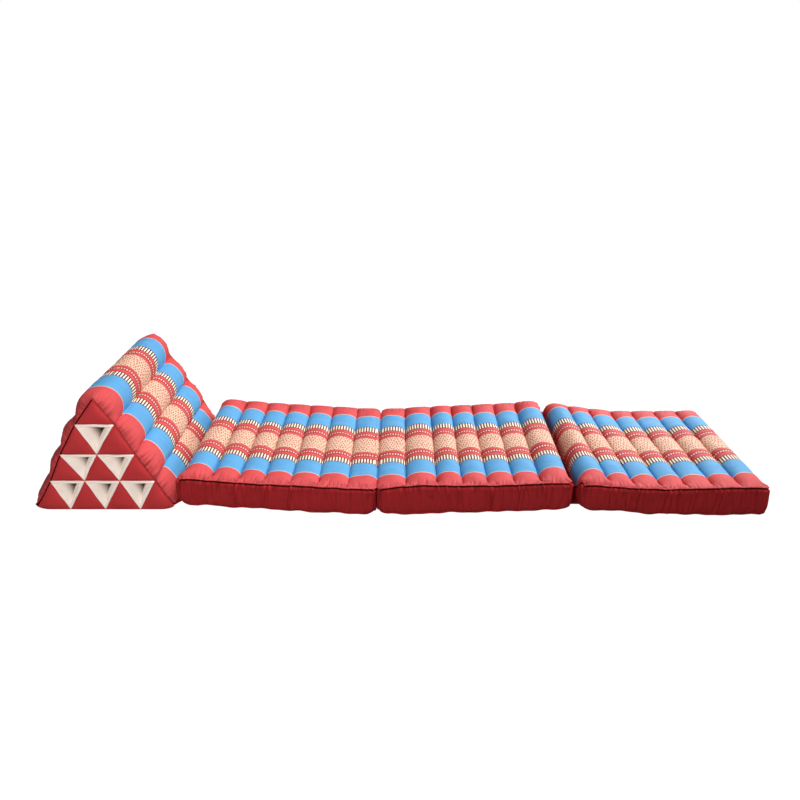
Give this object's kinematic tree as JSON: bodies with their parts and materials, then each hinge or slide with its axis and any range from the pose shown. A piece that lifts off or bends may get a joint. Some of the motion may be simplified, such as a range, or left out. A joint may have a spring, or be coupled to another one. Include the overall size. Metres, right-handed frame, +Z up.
{
  "type": "triangle cushion with fold-out mats",
  "caption": "Stuffed triangle cushion with sewn rolls and lined end hollows, joined by cloth hinges to flat rolled mats that are laid out in a row.",
  "frame": {"origin": "middle of the floor under the laid-out set", "axes": "+X along the laid-out length, from the triangle to the last mat; +Y from the front to the back across the mats; +Z up"},
  "size_m": [1.7218, 0.5764, 0.2983],
  "materials": {
    "patterned_cotton": "woven printed cotton, matt",
    "white_cotton": "plain unbleached cotton, matt",
    "dark_red_cotton": "plain dyed cotton, matt"
  },
  "bodies": {
    "root": {"triangle_cushion": "patterned_cotton", "mat_1": "patterned_cotton", "mat_2": "patterned_cotton", "mat_3": "patterned_cotton", "hollow_liner_1": "white_cotton", "hollow_liner_2": "white_cotton", "hollow_liner_3": "white_cotton", "hollow_liner_4": "white_cotton", "hollow_liner_5": "white_cotton", "hollow_liner_6": "white_cotton", "hinge_strip_1": "dark_red_cotton", "hinge_strip_2": "patterned_cotton", "hinge_strip_3": "dark_red_cotton"}
  },
  "joints": []
}
